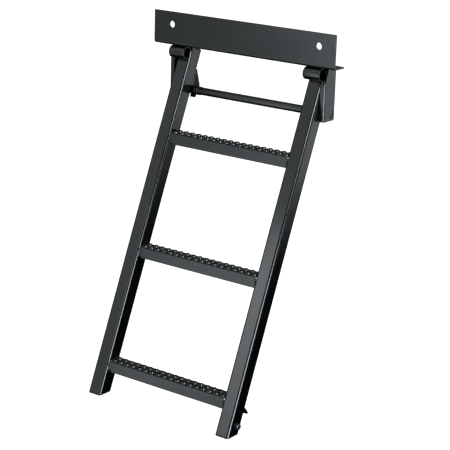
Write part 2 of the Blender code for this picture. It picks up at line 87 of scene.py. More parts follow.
PLATE_LOW, PLATE_HIGH = BOX["mount_plate"]
SHEET = -PLATE_LOW.y
FRONT_Y = PLATE_LOW.y
FOLD_Z = PLATE_LOW.z
BRACKET_FRONT = FRONT_Y + 0.0114
HOLE_X = 0.1785
HOLE_RADIUS = 0.00675
BAR_RADIUS = (BOX["cross_bar"][1].z - BOX["cross_bar"][0].z) / 2
RAIL_WIDTH = BOX["rail_right"][1].x - BOX["rail_right"][0].x
RAIL_X = (BOX["rail_right"][1].x + BOX["rail_right"][0].x) / 2
RAIL_DEPTH = 0.0335
RAIL_CORNER = 0.0054
RAIL_WALL = 0.0020
GAP = 0.0003
BAR_CLEARANCE = 0.0004

# The ladder's own origin: on the rails' front plane, at the fold's height.
BAR_BACK = RAIL_DEPTH + BAR_CLEARANCE + BAR_RADIUS
BAR_DOWN = 0.0832
LADDER = BAR - DOWN * BAR_DOWN - BACK * BAR_BACK
RAIL_TOP = 0.0040
RAIL_FOOT = 0.7325
SIDES = (("left", -1), ("right", 1))


def on_ladder(x, down, back):
    """The world point of a place on the ladder."""
    return LADDER + Vector((x, 0, 0)) + DOWN * down + BACK * back


# ---------------------------------------------------------------- materials


def node(tree, kind, **values):
    made = tree.nodes.new(kind)
    for key, value in values.items():
        setattr(made, key, value)
    return made


def math_node(tree, operation, first, second):
    """A math node on a source and a source or number."""
    made = node(tree, "ShaderNodeMath", operation=operation)
    tree.links.new(first, made.inputs[0])
    if isinstance(second, bpy.types.NodeSocket):
        tree.links.new(second, made.inputs[1])
    else:
        made.inputs[1].default_value = second
    return made.outputs[0]


def mix_color(tree, factor, low, high):
    mix = node(tree, "ShaderNodeMix", data_type="RGBA")
    tree.links.new(factor, mix.inputs[0])
    for socket, value in ((mix.inputs[6], low), (mix.inputs[7], high)):
        if isinstance(value, bpy.types.NodeSocket):
            tree.links.new(value, socket)
        else:
            socket.default_value = (*value, 1)
    return mix.outputs[2]


def ramp(tree, source, low, high, low_value=0.0, high_value=1.0):
    """Map a source from low..high to low_value..high_value."""
    made = node(tree, "ShaderNodeMapRange")
    for index, value in enumerate((low, high, low_value, high_value), start=1):
        made.inputs[index].default_value = value
    tree.links.new(source, made.inputs[0])
    return made.outputs[0]


def noise_node(tree, where, scale, detail=3.0, roughness=0.55):
    made = node(tree, "ShaderNodeTexNoise")
    made.inputs["Scale"].default_value = scale
    made.inputs["Detail"].default_value = detail
    made.inputs["Roughness"].default_value = roughness
    tree.links.new(where, made.inputs["Vector"])
    return made.outputs["Fac"]


def start_material(name, roughness, metallic=0.0, specular=0.5):
    material = bpy.data.materials.new(name)
    material.use_nodes = True
    tree = material.node_tree
    shader = tree.nodes["Principled BSDF"]
    shader.inputs["Roughness"].default_value = roughness
    shader.inputs["Metallic"].default_value = metallic
    shader.inputs["Specular IOR Level"].default_value = specular
    where = node(tree, "ShaderNodeTexCoord").outputs["Object"]
    return material, tree, shader, where


def bump(tree, shader, layers):
    """Height layers of (source, metres of relief), added into one bump."""
    scaled = [math_node(tree, "MULTIPLY", source, relief) for source, relief in layers]
    total = scaled[0]
    for layer in scaled[1:]:
        total = math_node(tree, "ADD", total, layer)
    made = node(tree, "ShaderNodeBump")
    made.inputs["Strength"].default_value = 1.0
    made.inputs["Distance"].default_value = 1.0
    tree.links.new(total, made.inputs["Height"])
    tree.links.new(made.outputs["Normal"], shader.inputs["Normal"])


# Sizes of the coats' noises, in cells per metre.
GRAIN = 260.0
FINE_PEEL = 900.0
COARSE_PEEL = 340.0
SWELL = 32.0


def powder_coat(name, base, shade, roughness, peel=0.000014, blotch=9.0, specular=0.5,
                wave=0.00008):
    """Semi-gloss powder coat: orange peel, faint mottling, a paler skin on worn edges."""
    material, tree, shader, where = start_material(name, roughness, specular=specular)
    patches = noise_node(tree, where, blotch, 4.0, 0.6)
    grain = noise_node(tree, where, GRAIN, 2.0, 0.5)
    color = mix_color(tree, ramp(tree, patches, 0.32, 0.70), base, shade)
    fine = mix_color(tree, ramp(tree, grain, 0.35, 0.75, 0.0, 0.35), color,
                     [c * 1.35 for c in shade])
    edge = node(tree, "ShaderNodeNewGeometry").outputs["Pointiness"]
    worn = ramp(tree, edge, 0.53, 0.62, 0.0, 0.30)
    tree.links.new(mix_color(tree, worn, fine, [c * 2.0 for c in shade]),
                   shader.inputs["Base Color"])
    fine_peel = noise_node(tree, where, FINE_PEEL, 1.5, 0.5)
    coarse_peel = noise_node(tree, where, COARSE_PEEL, 2.0, 0.5)
    swell = noise_node(tree, where, SWELL, 2.0, 0.5)
    bump(tree, shader, [(fine_peel, peel), (coarse_peel, peel * 1.6), (swell, wave)])
    tree.links.new(ramp(tree, patches, 0.25, 0.75, roughness - 0.04, roughness + 0.05),
                   shader.inputs["Roughness"])
    return material


def moulded_plastic(name, base, roughness):
    """Moulded plastic: faint mottling and a fine grain."""
    material, tree, shader, where = start_material(name, roughness, specular=0.4)
    patches = noise_node(tree, where, 45.0, 3.0)
    tree.links.new(mix_color(tree, patches, base, [c * 1.7 for c in base]),
                   shader.inputs["Base Color"])
    grain = noise_node(tree, where, 1500.0, 2.0)
    bump(tree, shader, [(grain, 0.00002)])
    return material


def plated_steel(name, base, dull, roughness, metallic=1.0):
    """Plated or blackened steel: dull patches and faint drawn streaks along x."""
    material, tree, shader, where = start_material(name, roughness, metallic)
    patches = noise_node(tree, where, 120.0, 4.0, 0.6)
    stretched = node(tree, "ShaderNodeMapping")
    stretched.inputs["Scale"].default_value = (1500.0, 260.0, 260.0)
    tree.links.new(where, stretched.inputs["Vector"])
    streaks = noise_node(tree, stretched.outputs["Vector"], 1.0, 3.0)
    color = mix_color(tree, ramp(tree, patches, 0.35, 0.70), base, dull)
    tree.links.new(color, shader.inputs["Base Color"])
    tree.links.new(ramp(tree, patches, 0.3, 0.7, roughness - 0.06, roughness + 0.12),
                   shader.inputs["Roughness"])
    bump(tree, shader, [(streaks, 0.000015)])
    return material


PLATE_COAT = powder_coat("plate_powder_coat", (0.0040, 0.0046, 0.0052), (0.0085, 0.0096, 0.0105),
                         0.25, wave=0.00028)
LADDER_COAT = powder_coat("ladder_powder_coat", (0.0038, 0.0043, 0.0048),
                          (0.0060, 0.0068, 0.0074), 0.19)
TREAD_COAT = powder_coat("tread_powder_coat", (0.0038, 0.0043, 0.0048),
                         (0.0060, 0.0068, 0.0074), 0.30, specular=0.62)
BARREL_COAT = powder_coat("barrel_powder_coat", (0.0038, 0.0042, 0.0046),
                          (0.0060, 0.0066, 0.0070), 0.15, peel=0.00001)
BAR_COAT = powder_coat("bar_coat", (0.0030, 0.0032, 0.0034), (0.0050, 0.0054, 0.0058), 0.29,
                       specular=0.62)
# The hook's coat is a darker, duller copy of the ladder's coat: painted shade for the hook behind
# the rail.
HOOK_PAINTED_SHADE_COAT = powder_coat("hook_painted_shade_coat", (0.0030, 0.0032, 0.0034), (0.0050, 0.0054, 0.0058), 0.40,
                        specular=0.20)
WELD_COAT = powder_coat("coated_weld", (0.0040, 0.0045, 0.0050), (0.0080, 0.0090, 0.0100), 0.26,
                        peel=0.00004, blotch=60.0)
CAP_PLASTIC = moulded_plastic("cap_plastic", (0.0060, 0.0060, 0.0065), 0.50)
COLLAR_PLASTIC = moulded_plastic("collar_plastic", (0.0065, 0.0065, 0.0070), 0.42)
ZINC = plated_steel("zinc_plate", (0.34, 0.35, 0.36), (0.22, 0.225, 0.23), 0.34)
BLACK_STEEL = plated_steel("black_oxide", (0.016, 0.016, 0.017), (0.010, 0.010, 0.011), 0.40, 0.3)

# ---------------------------------------------------------------- mesh helpers


def link(name, data):
    obj = bpy.data.objects.new(name, data)
    bpy.context.scene.collection.objects.link(obj)
    return obj


def shade(obj, smooth):
    """Smooth shading, with edges sharper than this many degrees kept sharp."""
    obj.data.shade_smooth()
    obj.data.set_sharp_from_angle(angle=math.radians(smooth))


def mesh_of(name, work, material):
    """Turn a bmesh into an object, as it is."""
    data = bpy.data.meshes.new(name)
    work.to_mesh(data)
    work.free()
    data.materials.append(material)
    return link(name, data)


def to_object(name, work, material, smooth=35):
    """Turn a bmesh into a shaded object with its faces turned outwards."""
    bmesh.ops.recalc_face_normals(work, faces=work.faces)
    obj = mesh_of(name, work, material)
    shade(obj, smooth)
    return obj


def apply_modifiers(obj):
    bpy.context.view_layer.update()
    graph = bpy.context.evaluated_depsgraph_get()
    data = bpy.data.meshes.new_from_object(obj.evaluated_get(graph))
    old = obj.data
    obj.modifiers.clear()
    obj.data = data
    bpy.data.meshes.remove(old)
    data.name = obj.name


def bake(obj, smooth=35):
    """Apply the modifiers and shade the result."""
    apply_modifiers(obj)
    shade(obj, smooth)


def soften(obj, width, angle=50):
    """Round the edges and weight the normals, so that flat faces stay flat."""
    bevel = obj.modifiers.new("bevel", "BEVEL")
    bevel.width = width
    bevel.segments = 2
    bevel.limit_method = "ANGLE"
    bevel.angle_limit = math.radians(angle)
    bevel.use_clamp_overlap = True
    bevel.harden_normals = True
    weigh = obj.modifiers.new("weigh", "WEIGHTED_NORMAL")
    weigh.mode = "FACE_AREA"
    weigh.weight = 100
    weigh.keep_sharp = False
    obj.data.shade_smooth()
    apply_modifiers(obj)


def boolean(obj, operation, *tools):
    """Cut or trim an object by others, which are used up."""
    for tool in tools:
        modifier = obj.modifiers.new("cut", "BOOLEAN")
        modifier.operation = operation
        modifier.solver = "EXACT"
        modifier.object = tool
    bake(obj)
    for tool in tools:
        bpy.data.objects.remove(tool, do_unlink=True)


def rounded(corners, steps=8):
    """An outline whose corners (u, v, radius) are replaced by arcs."""
    points = []
    count = len(corners)
    for i, (u, v, radius) in enumerate(corners):
        here = Vector((u, v))
        if radius == 0:
            points.append((u, v))
            continue
        before = (Vector(corners[i - 1][:2]) - here).normalized()
        after = (Vector(corners[(i + 1) % count][:2]) - here).normalized()
        half = before.angle(after) / 2
        centre = here + (before + after).normalized() * (radius / math.sin(half))
        start = here + before * (radius / math.tan(half)) - centre
        end = here + after * (radius / math.tan(half)) - centre
        sweep = start.angle_signed(end)
        for k in range(steps + 1):
            arm = start.copy()
            arm.rotate(Matrix.Rotation(-sweep * k / steps, 2))
            points.append(tuple(centre + arm))
    return points


def arc(u, v, radius, start, end, steps):
    """Points of an arc between two angles in degrees."""
    angles = [math.radians(start + (end - start) * k / steps) for k in range(steps + 1)]
    return [(u + radius * math.cos(a), v + radius * math.sin(a)) for a in angles]


def prism(name, outline, low, high, place, material):
    """An outline swept between two offsets; place(u, v, w) gives the world point."""
    work = bmesh.new()
    bottom = [work.verts.new(place(u, v, low)) for u, v in outline]
    top = [work.verts.new(place(u, v, high)) for u, v in outline]
    work.faces.new(bottom)
    work.faces.new(list(reversed(top)))
    for i in range(len(outline)):
        j = (i + 1) % len(outline)
        work.faces.new((bottom[i], bottom[j], top[j], top[i]))
    return to_object(name, work, material)


def in_yz(u, v, w):
    return Vector((w, u, v))


def in_xy(u, v, w):
    return Vector((u, v, w))


def ladder_side(u, v, w):
    return on_ladder(w, u, v)


def skin(work, rings):
    """Join each ring of vertices to the next; a ring of one vertex is a pole."""
    for a, b in zip(rings, rings[1:]):
        sides = max(len(a), len(b))
        for k in range(sides):
            n = (k + 1) % sides
            if len(a) == 1:
                work.faces.new((a[0], b[n], b[k]))
            elif len(b) == 1:
                work.faces.new((a[k], a[n], b[0]))
            else:
                work.faces.new((a[k], a[n], b[n], b[k]))


def turned(name, profile, axis_start, axis, material, sides, smooth=35):
    """A closed ring profile of (along, radius) turned about an axis."""
    axis = Vector(axis).normalized()
    side = axis.orthogonal().normalized()
    other = axis.cross(side)
    work = bmesh.new()
    rings = []
    for along, radius in profile:
        centre = Vector(axis_start) + axis * along
        if radius <= 0:
            rings.append([work.verts.new(centre)])
            continue
        ring = []
        for k in range(sides):
            angle = 2 * math.pi * k / sides
            spoke = side * math.cos(angle) + other * math.sin(angle)
            ring.append(work.verts.new(centre + spoke * radius))
        rings.append(ring)
    if profile[0][1] > 0 and profile[-1][1] > 0:
        rings.append(rings[0])
    skin(work, rings)
    return to_object(name, work, material, smooth)


def cylinder(name, radius, start, end, sides=64):
    """A plain cutter."""
    axis = Vector(end) - Vector(start)
    length = axis.length
    return turned(name, [(0, 0), (0, radius), (length, radius), (length, 0)], start, axis,
                  BLACK_STEEL, sides)


BEAD_RIPPLE = 0.0026
BEAD_SIDES = 12
BEAD_ASIDE = Vector((0.31, 0.52, 0.79))


def bead(name, path, radius, seed):
    """A weld bead along a path: overlapping ripples, slightly uneven, with rounded ends."""
    spans = []
    total = 0.0
    for a, b in zip(path, path[1:]):
        length = (b - a).length
        spans.append((total, length, a, b))
        total += length
    count = max(6, round(total / (BEAD_RIPPLE / 6)))
    points = []
    for k in range(count + 1):
        at = total * k / count
        for start, length, a, b in spans:
            if at <= start + length + 1e-9:
                points.append((at, a.lerp(b, (at - start) / length)))
                break
    random.seed(seed)
    phase = random.random()
    work = bmesh.new()
    rings = []
    for k, (at, here) in enumerate(points):
        along = (points[min(k + 1, count)][1] - points[max(k - 1, 0)][1]).normalized()
        side = along.cross(BEAD_ASIDE).normalized()
        other = along.cross(side)
        wave = abs(math.sin(math.pi * (at / BEAD_RIPPLE + phase)))
        lump = noise.noise(here * 260 + Vector((seed, seed, seed)))
        size = radius * (0.86 + 0.14 * wave + 0.16 * lump)
        taper = max(0.0, min(1.0, min(at, total - at) / (radius * 1.3)))
        size *= math.sqrt(1 - (1 - taper) ** 2) * 0.95 + 0.05
        ring = []
        for n in range(BEAD_SIDES):
            angle = 2 * math.pi * n / BEAD_SIDES
            spoke = side * math.cos(angle) + other * math.sin(angle)
            wobble = 1 + 0.07 * noise.noise(here * 900 + spoke * 3)
            ring.append(work.verts.new(here + spoke * size * wobble))
        rings.append(ring)
    skin(work, rings)
    work.faces.new(list(reversed(rings[0])))
    work.faces.new(rings[-1])
    return to_object(name, work, WELD_COAT, 180)


def keep(obj, body, slot, *nodes):
    """Ride on a body and stand for CAD nodes, which are hidden; the slot is not used."""
    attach(obj, body)
    if nodes:
        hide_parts(*nodes)


def weld(name, path, radius, seed, body, slot):
    """A bead that rides on a body; the slot is not used."""
    keep(bead(name, path, radius, seed), body, slot)


# ---------------------------------------------------------------- bracket


SHEET_EDGE = 0.0006
SHEET_SOFTNESS = 0.0005
NOTCH_HALF = 0.1790
NOTCH_DEPTH = 0.0250
NOTCH_CORNER = 0.004


def plate():
    """The folded plate, with pressed bend, bolt holes and the notch for the ladder."""
    top = PLATE_HIGH.z
    deep = PLATE_HIGH.y
    profile = rounded([
        (FRONT_Y, FOLD_Z, 0.0065),
        (deep, FOLD_Z, SHEET_EDGE),
        (deep, FOLD_Z + SHEET, SHEET_EDGE),
        (0, FOLD_Z + SHEET, 0.0025),
        (0, top, SHEET_EDGE),
        (FRONT_Y, top, SHEET_EDGE),
    ])
    body = prism("folded_plate", profile, PLATE_LOW.x, PLATE_HIGH.x, in_yz, PLATE_COAT)
    cutters = []
    for label, side in SIDES:
        x = side * HOLE_X
        cutters.append(cylinder("hole_" + label, HOLE_RADIUS, (x, -0.02, 0), (x, 0.02, 0)))
    edge = FRONT_Y + NOTCH_DEPTH
    notch = rounded([
        (-NOTCH_HALF, edge, NOTCH_CORNER),
        (NOTCH_HALF, edge, NOTCH_CORNER),
        (NOTCH_HALF, edge + 0.03, 0),
        (-NOTCH_HALF, edge + 0.03, 0),
    ])
    cutters.append(prism("notch", notch, FOLD_Z - 0.02, FOLD_Z + 0.02, in_xy, PLATE_COAT))
    boolean(body, "DIFFERENCE", *cutters)
    soften(body, SHEET_SOFTNESS)
    keep(body, "bracket", "plate_coat", "mount_plate")


def side_bracket(label, side):
    """A sheet with its front edge turned in and round lower corners."""
    low, high = BOX["side_bracket_" + label]
    outer = max(abs(low.x), abs(high.x))
    inner = min(abs(low.x), abs(high.x))
    rear, bottom, top = high.y, low.z, high.z
    tube_low, tube_high = BOX["guide_barrel_" + label]
    tube = (tube_low + tube_high) / 2
    tube_radius = (tube_high.z - tube_low.z) / 2
    rough = 0.01                # trimmed off by the side outline
    section = rounded([
        (inner, BRACKET_FRONT - 0.0005, 0),
        (outer, BRACKET_FRONT - 0.0005, 0.0040),
        (outer, rear + rough, 0),
        (outer - SHEET, rear + rough, 0),
        (outer - SHEET, BRACKET_FRONT + SHEET, 0.0005),
        (inner, BRACKET_FRONT + SHEET, 0),
    ])
    section = [(side * u, v) for u, v in section]
    body = prism("bracket_sheet_" + label, section, bottom - rough, top + rough, in_xy, PLATE_COAT)
    outline = rounded([
        (FRONT_Y + 0.0235, top, 0),
        (BRACKET_FRONT, FOLD_Z - 0.0340, 0.0060),
        (BRACKET_FRONT, bottom, 0.0015),
        (rear, bottom, 0.0030),
        (rear, top, 0),
    ], 10)
    x_in, x_out = side * outer - 0.03, side * outer + 0.03
    boolean(body, "INTERSECT", prism("outline_" + label, outline, x_in, x_out, in_yz, PLATE_COAT))
    flat_in, flat_out = sorted((side * 0.17, side * (outer - SHEET - 0.0001)))
    boolean(body, "DIFFERENCE",
            cylinder("way", tube_radius + GAP * 0.5,
                     (flat_in, tube.y, tube.z), (flat_out, tube.y, tube.z)),
            cylinder("way", BAR_RADIUS + 0.00035, (x_in, BAR.y, BAR.z), (x_out, BAR.y, BAR.z)))
    soften(body, SHEET_SOFTNESS)
    keep(body, "bracket", "plate_coat", "side_bracket_" + label)

    corner = side * (outer - SHEET - 0.0004)
    line = [Vector((corner, y, top - 0.0006)) for y in (FRONT_Y + 0.0200, PLATE_HIGH.y - 0.0005)]
    weld("weld_bracket_fold_" + label, line, 0.0024, 3 + side, "bracket", "plate_coat")
    face = side * (outer - SHEET - 0.0010)
    ring = []
    for y, z in arc(tube.y, tube.z, tube_radius - 0.0002, -75, 35, 12):
        ring.append(Vector((face, y, z)))
    weld("weld_barrel_end_" + label, ring, 0.0016, 11 + side, "bracket", "plate_coat")
    under = [Vector((side * x, BRACKET_FRONT + 0.0004, tube.z - tube_radius - 0.0004))
             for x in (inner + 0.0012, inner + 0.0055)]
    weld("weld_barrel_under_" + label, under, 0.0015, 15 + side, "bracket", "plate_coat")


BARREL_BORE = 0.0106


def barrel(label, side):
    """A cut length of tube, slightly broken edges, welded along the fold."""
    low, high = BOX["guide_barrel_" + label]
    centre = (low + high) / 2
    radius = (high.z - low.z) / 2
    length = high.x - low.x
    e = 0.0006
    turns = (0.4, 0.8, 1.2, math.pi / 2)
    near = [(e * (1 - math.cos(a)), radius - e * (1 - math.sin(a))) for a in turns]
    far = [(length - along, r) for along, r in reversed(near)]
    profile = ([(e, BARREL_BORE), (0, BARREL_BORE + e), (0, radius - e)] + near + far
               + [(length, radius - e), (length, BARREL_BORE + e), (length - e, BARREL_BORE)])
    tube = turned("barrel_tube_" + label, profile, (low.x, centre.y, centre.z), (1, 0, 0),
                  BARREL_COAT, 64)
    keep(tube, "bracket", "plate_coat", "guide_barrel_" + label)
    reach = [Vector((x, centre.y + radius * 0.62, FOLD_Z - 0.0012))
             for x in (low.x + 0.006, high.x - 0.006)]
    weld("weld_barrel_fold_" + label, reach, 0.0023, 21 + side, "bracket", "plate_coat")


# ---------------------------------------------------------------- cross bar


def cross_bar():
    """The bar with broken edges, and the plastic rings on it."""
    low, high = BOX["cross_bar"]
    length, r, c = high.x - low.x, BAR_RADIUS, 0.0007
    profile = [(0, 0), (0, r - c), (c * 0.3, r - c * 0.3), (c, r), (length - c, r),
               (length - c * 0.3, r - c * 0.3), (length, r - c), (length, 0)]
    rod = turned("bar_rod", profile, (low.x, BAR.y, BAR.z), (1, 0, 0), BAR_COAT, 64)
    keep(rod, "pivot_bar", "bar_coat", "cross_bar")
    for label, _ in SIDES:
        ring_on_bar("bar_collar_" + label, "collar_ring_" + label, grooves=2)
        ring_on_bar("bar_spacer_" + label, "spacer_ring_" + label, grooves=0)


def ring_on_bar(cad, name, grooves):
    """A plastic ring with rounded lips and shallow grooves."""
    low, high = BOX[cad]
    length = high.x - low.x
    r, bore, e = (high.z - low.z) / 2, BAR_RADIUS + 0.00012, 0.0007
    profile = [(0.0003, bore), (0, bore + 0.0003), (0, r - e), (e * 0.3, r - e * 0.3), (e, r)]
    for k in range(grooves):
        at = length * (0.32 + 0.36 * k)
        profile += [(at - 0.0009, r), (at - 0.0004, r - 0.0004), (at + 0.0004, r - 0.0004),
                    (at + 0.0009, r)]
    profile += [(length - e, r), (length - e * 0.3, r - e * 0.3), (length, r - e),
                (length, bore + 0.0003), (length - 0.0003, bore)]
    ring = turned(name, profile, (low.x, BAR.y, BAR.z), (1, 0, 0), COLLAR_PLASTIC, 64)
    keep(ring, "pivot_bar", "collar_plastic", cad)


# ---------------------------------------------------------------- ladder

FOOT_Z = on_ladder(0, RAIL_FOOT, 0).z


def rail_outline(inset):
    """The tube's section, or the same drawn in by an inset, as (across, back)."""
    half = RAIL_WIDTH / 2 - inset
    corner = max(0.0012, RAIL_CORNER - inset)
    return rounded([(-half, inset, corner), (half, inset, corner),
                    (half, RAIL_DEPTH - inset, corner), (-half, RAIL_DEPTH - inset, corner)])


def down_at(back, z):
    """How far down the rail a line at this depth meets a level plane."""
    return (LADDER.z + BACK.z * back - z) / -DOWN.z


SLOT_HALF = 0.0028
SLOT_TOP = 0.6645
SLOT_FOOT = 0.6845


def rail(label, side):
    """A drawn square tube with soft corners, a square top and a level foot."""
    x = side * RAIL_X
    work = bmesh.new()
    shells = []
    for inset in (0.0, RAIL_WALL):
        outline = rail_outline(inset)
        top = [work.verts.new(on_ladder(x + u, RAIL_TOP, v)) for u, v in outline]
        foot = [work.verts.new(on_ladder(x + u, down_at(v, FOOT_Z), v)) for u, v in outline]
        shells.append((top, foot))
    outside, inside = shells
    for top, foot in shells:
        skin(work, [top, foot])
    for station in range(2):
        skin(work, [outside[station], inside[station]])
    tube = to_object("rail_tube_" + label, work, LADDER_COAT)
    if side > 0:
        reach = Vector((0.03, 0, 0))
        way = cylinder("bolt_way", 0.0033, PIVOT - reach, PIVOT + reach, 40)
        pawl_x = (BOX["latch_pawl"][0].x + BOX["latch_pawl"][1].x) / 2
        opening = rounded([(-SLOT_HALF, SLOT_TOP, 0.0010), (SLOT_HALF, SLOT_TOP, 0.0010),
                           (SLOT_HALF, SLOT_FOOT, 0.0010), (-SLOT_HALF, SLOT_FOOT, 0.0010)], 4)
        slot = prism("barb_slot", opening, RAIL_DEPTH - RAIL_CORNER - 0.001, RAIL_DEPTH + 0.005,
                     lambda u, v, w: on_ladder(pawl_x + u, v, w), LADDER_COAT)
        boolean(tube, "DIFFERENCE", way, slot)
    soften(tube, 0.0004, 60)
    keep(tube, "ladder", "ladder_coat", "rail_" + label)


CAP_THICKNESS = 0.0030
CAP_STEM = RAIL_WALL + 0.0003


def close_chain(work, chain):
    """Skin a chain of equal rings and close both ends."""
    skin(work, chain)
    work.faces.new(list(reversed(chain[0])))
    work.faces.new(chain[-1])


def rail_caps(label, side):
    """Moulded plugs: a domed top cap and a level foot cap."""
    x = side * RAIL_X
    work = bmesh.new()

    def square_ring(inset, down):
        return [work.verts.new(on_ladder(x + u, down, v)) for u, v in rail_outline(inset)]

    under = RAIL_TOP - GAP
    crown = under - CAP_THICKNESS
    close_chain(work, [
        square_ring(CAP_STEM, RAIL_TOP + 0.005),
        square_ring(CAP_STEM, under),
        square_ring(0.0002, under),
        square_ring(0.0, crown + CAP_THICKNESS - 0.0006),
        square_ring(0.0002, crown + 0.0006),
        square_ring(0.0012, crown),
    ])
    cap = to_object("top_plug_" + label, work, CAP_PLASTIC)
    keep(cap, "ladder", "cap_plastic", "rail_top_cap_" + label)

    work = bmesh.new()

    def level_ring(inset, z):
        return [work.verts.new(on_ladder(x + u, down_at(v, z), v)) for u, v in rail_outline(inset)]

    over = FOOT_Z - GAP
    sole = over - CAP_THICKNESS
    close_chain(work, [
        level_ring(CAP_STEM, FOOT_Z + 0.004),
        level_ring(CAP_STEM, over),
        level_ring(0.0002, over),
        level_ring(0.0, over - 0.0006),
        level_ring(0.0, sole + 0.0009),
        level_ring(0.0003, sole + 0.0003),
        level_ring(0.0010, sole),
    ])
    foot = to_object("foot_plug_" + label, work, CAP_PLASTIC)
    keep(foot, "ladder", "cap_plastic", "foot_cap_" + label)


TREAD_SHEET = 0.0015
TREAD_FOLD = 0.0018
TREAD_BACK_FOLD = 0.0020
TREAD_REAR_LIP = 0.0030
DECK_DEPTH = 0.0292
CELL_COUNT = 18
CELL_ROWS = 2
RIM_SIDES = 24
# Radius and height of the rings that make a hole's raised, flared rim.
HOLE_RIM = ((0.0064, 0.0), (0.0060, 0.0004), (0.0056, 0.0014), (0.0052, 0.0027), (0.0048, 0.0035))


def cell_border(work, cx, cy, cell, cell_y, top):
    """A cell's border: one vertex per rim side, and the corners by the side they follow."""
    border = []
    for k in range(RIM_SIDES):
        angle = 2 * math.pi * (k + 0.5) / RIM_SIDES
        u, v = math.cos(angle), math.sin(angle)
        stretch = 1 / max(abs(u) / (cell / 2), abs(v) / (cell_y / 2))
        border.append(work.verts.new((cx + u * stretch, cy + v * stretch, top)))
    corners = {}
    for k in range(RIM_SIDES):
        here, there = border[k].co, border[(k + 1) % RIM_SIDES].co
        on_x = abs(abs(here.x - cx) - cell / 2) < 1e-7
        next_y = abs(abs(there.y - cy) - cell_y / 2) < 1e-7
        next_x = abs(abs(there.x - cx) - cell / 2) < 1e-7
        if on_x != next_x or (on_x and next_y and not next_x):
            corner_x = here.x if on_x else there.x
            corner_y = there.y if on_x else here.y
            corners[k] = work.verts.new((corner_x, corner_y, top))
    return border, corners


def holed_cell(work, cx, cy, cell, cell_y, top):
    """One rectangle of the deck, with a raised hole."""
    border, corners = cell_border(work, cx, cy, cell, cell_y, top)
    rings = [border]
    for radius, rise in HOLE_RIM:
        r = min(radius, cell_y / 2 - 0.0002)
        ring = []
        for k in range(RIM_SIDES):
            angle = 2 * math.pi * (k + 0.5) / RIM_SIDES
            ring.append(work.verts.new((cx + r * math.cos(angle), cy + r * math.sin(angle),
                                        top + rise)))
        rings.append(ring)
    for k in range(RIM_SIDES):
        n = (k + 1) % RIM_SIDES
        if k in corners:
            work.faces.new((border[k], corners[k], border[n], rings[1][n], rings[1][k]))
        else:
            work.faces.new((border[k], border[n], rings[1][n], rings[1][k]))
    skin(work, rings[1:])


def extend(work, y_edge, top, steps):
    """Carry the sheet's border at one y on through a list of (y, z)."""
    row = [v for v in work.verts
           if abs(v.co.y - y_edge) < 1e-6 and abs(v.co.z - top) < 1e-6]
    row.sort(key=lambda v: v.co.x)
    for y, z in steps:
        following = [work.verts.new((v.co.x, y, z)) for v in row]
        for k in range(len(row) - 1):
            work.faces.new((row[k], row[k + 1], following[k + 1], following[k]))
        row = following


def tread(label):
    """A pressed channel whose top has two rows of raised, flared holes."""
    low, high = BOX["tread_" + label]
    front, rear, top, bottom = low.y, high.y, high.z, low.z
    deck_front, deck_rear = front + TREAD_FOLD, front + DECK_DEPTH
    cell = (high.x - low.x) / CELL_COUNT
    cell_y = (deck_rear - deck_front) / CELL_ROWS
    work = bmesh.new()
    for i in range(CELL_COUNT):
        for j in range(CELL_ROWS):
            holed_cell(work, low.x + cell * (i + 0.5), deck_front + cell_y * (j + 0.5), cell,
                       cell_y, top)
    bmesh.ops.remove_doubles(work, verts=work.verts, dist=1e-6)
    bend = [(front + TREAD_FOLD * (1 - math.sin(a)), top - TREAD_FOLD * (1 - math.cos(a)))
            for a in (math.pi * k / 12 for k in range(1, 7))]
    extend(work, deck_front, top, bend + [(front, bottom + 0.0001)])
    bend = [(rear - TREAD_BACK_FOLD * (1 - math.sin(a)),
             top - TREAD_BACK_FOLD * (1 - math.cos(a)))
            for a in (math.pi * k / 12 for k in range(7))]
    extend(work, deck_rear, top, bend + [(rear, top - TREAD_REAR_LIP)])
    bmesh.ops.recalc_face_normals(work, faces=work.faces)
    if sum(f.normal.z for f in work.faces) < 0:
        bmesh.ops.reverse_faces(work, faces=work.faces)
    body = mesh_of("tread_channel_" + label, work, TREAD_COAT)
    solid = body.modifiers.new("sheet", "SOLIDIFY")
    solid.thickness = TREAD_SHEET
    solid.offset = -1
    solid.use_even_offset = True
    bake(body, 40)
    soften(body, 0.0002, 55)
    keep(body, "ladder", "ladder_coat", "tread_" + label)
    tread_welds(label, low, high)


TREAD_SEEDS = {"top": 41, "middle": 57, "bottom": 73}


def tread_welds(label, low, high):
    """Beads at each end: up the front lip, back along the top, and back under the deck."""
    for name, side in SIDES:
        x = (low.x if side < 0 else high.x) + side * 0.0006
        front = low.y - 0.0002
        over = high.z + 0.0004
        seed = TREAD_SEEDS[label] + side
        paths = {
            "front": ((front + 0.0006, low.z + 0.0010), (front, low.z + 0.004),
                      (front + 0.0002, high.z - 0.0030)),
            "top": ((low.y + 0.0035, over - 0.0006), (high.y - 0.0015, over)),
            "under": ((low.y + 0.0030, high.z - 0.0035), (high.y - 0.0030, high.z - 0.0033)),
        }
        for place, radius, later in (("front", 0.0026, 0), ("top", 0.0024, 5),
                                     ("under", 0.0018, 9)):
            path = [Vector((x, y, z)) for y, z in paths[place]]
            weld("weld_tread_%s_%s_%s" % (label, place, name), path, radius, seed + later,
                 "ladder", "ladder_coat")


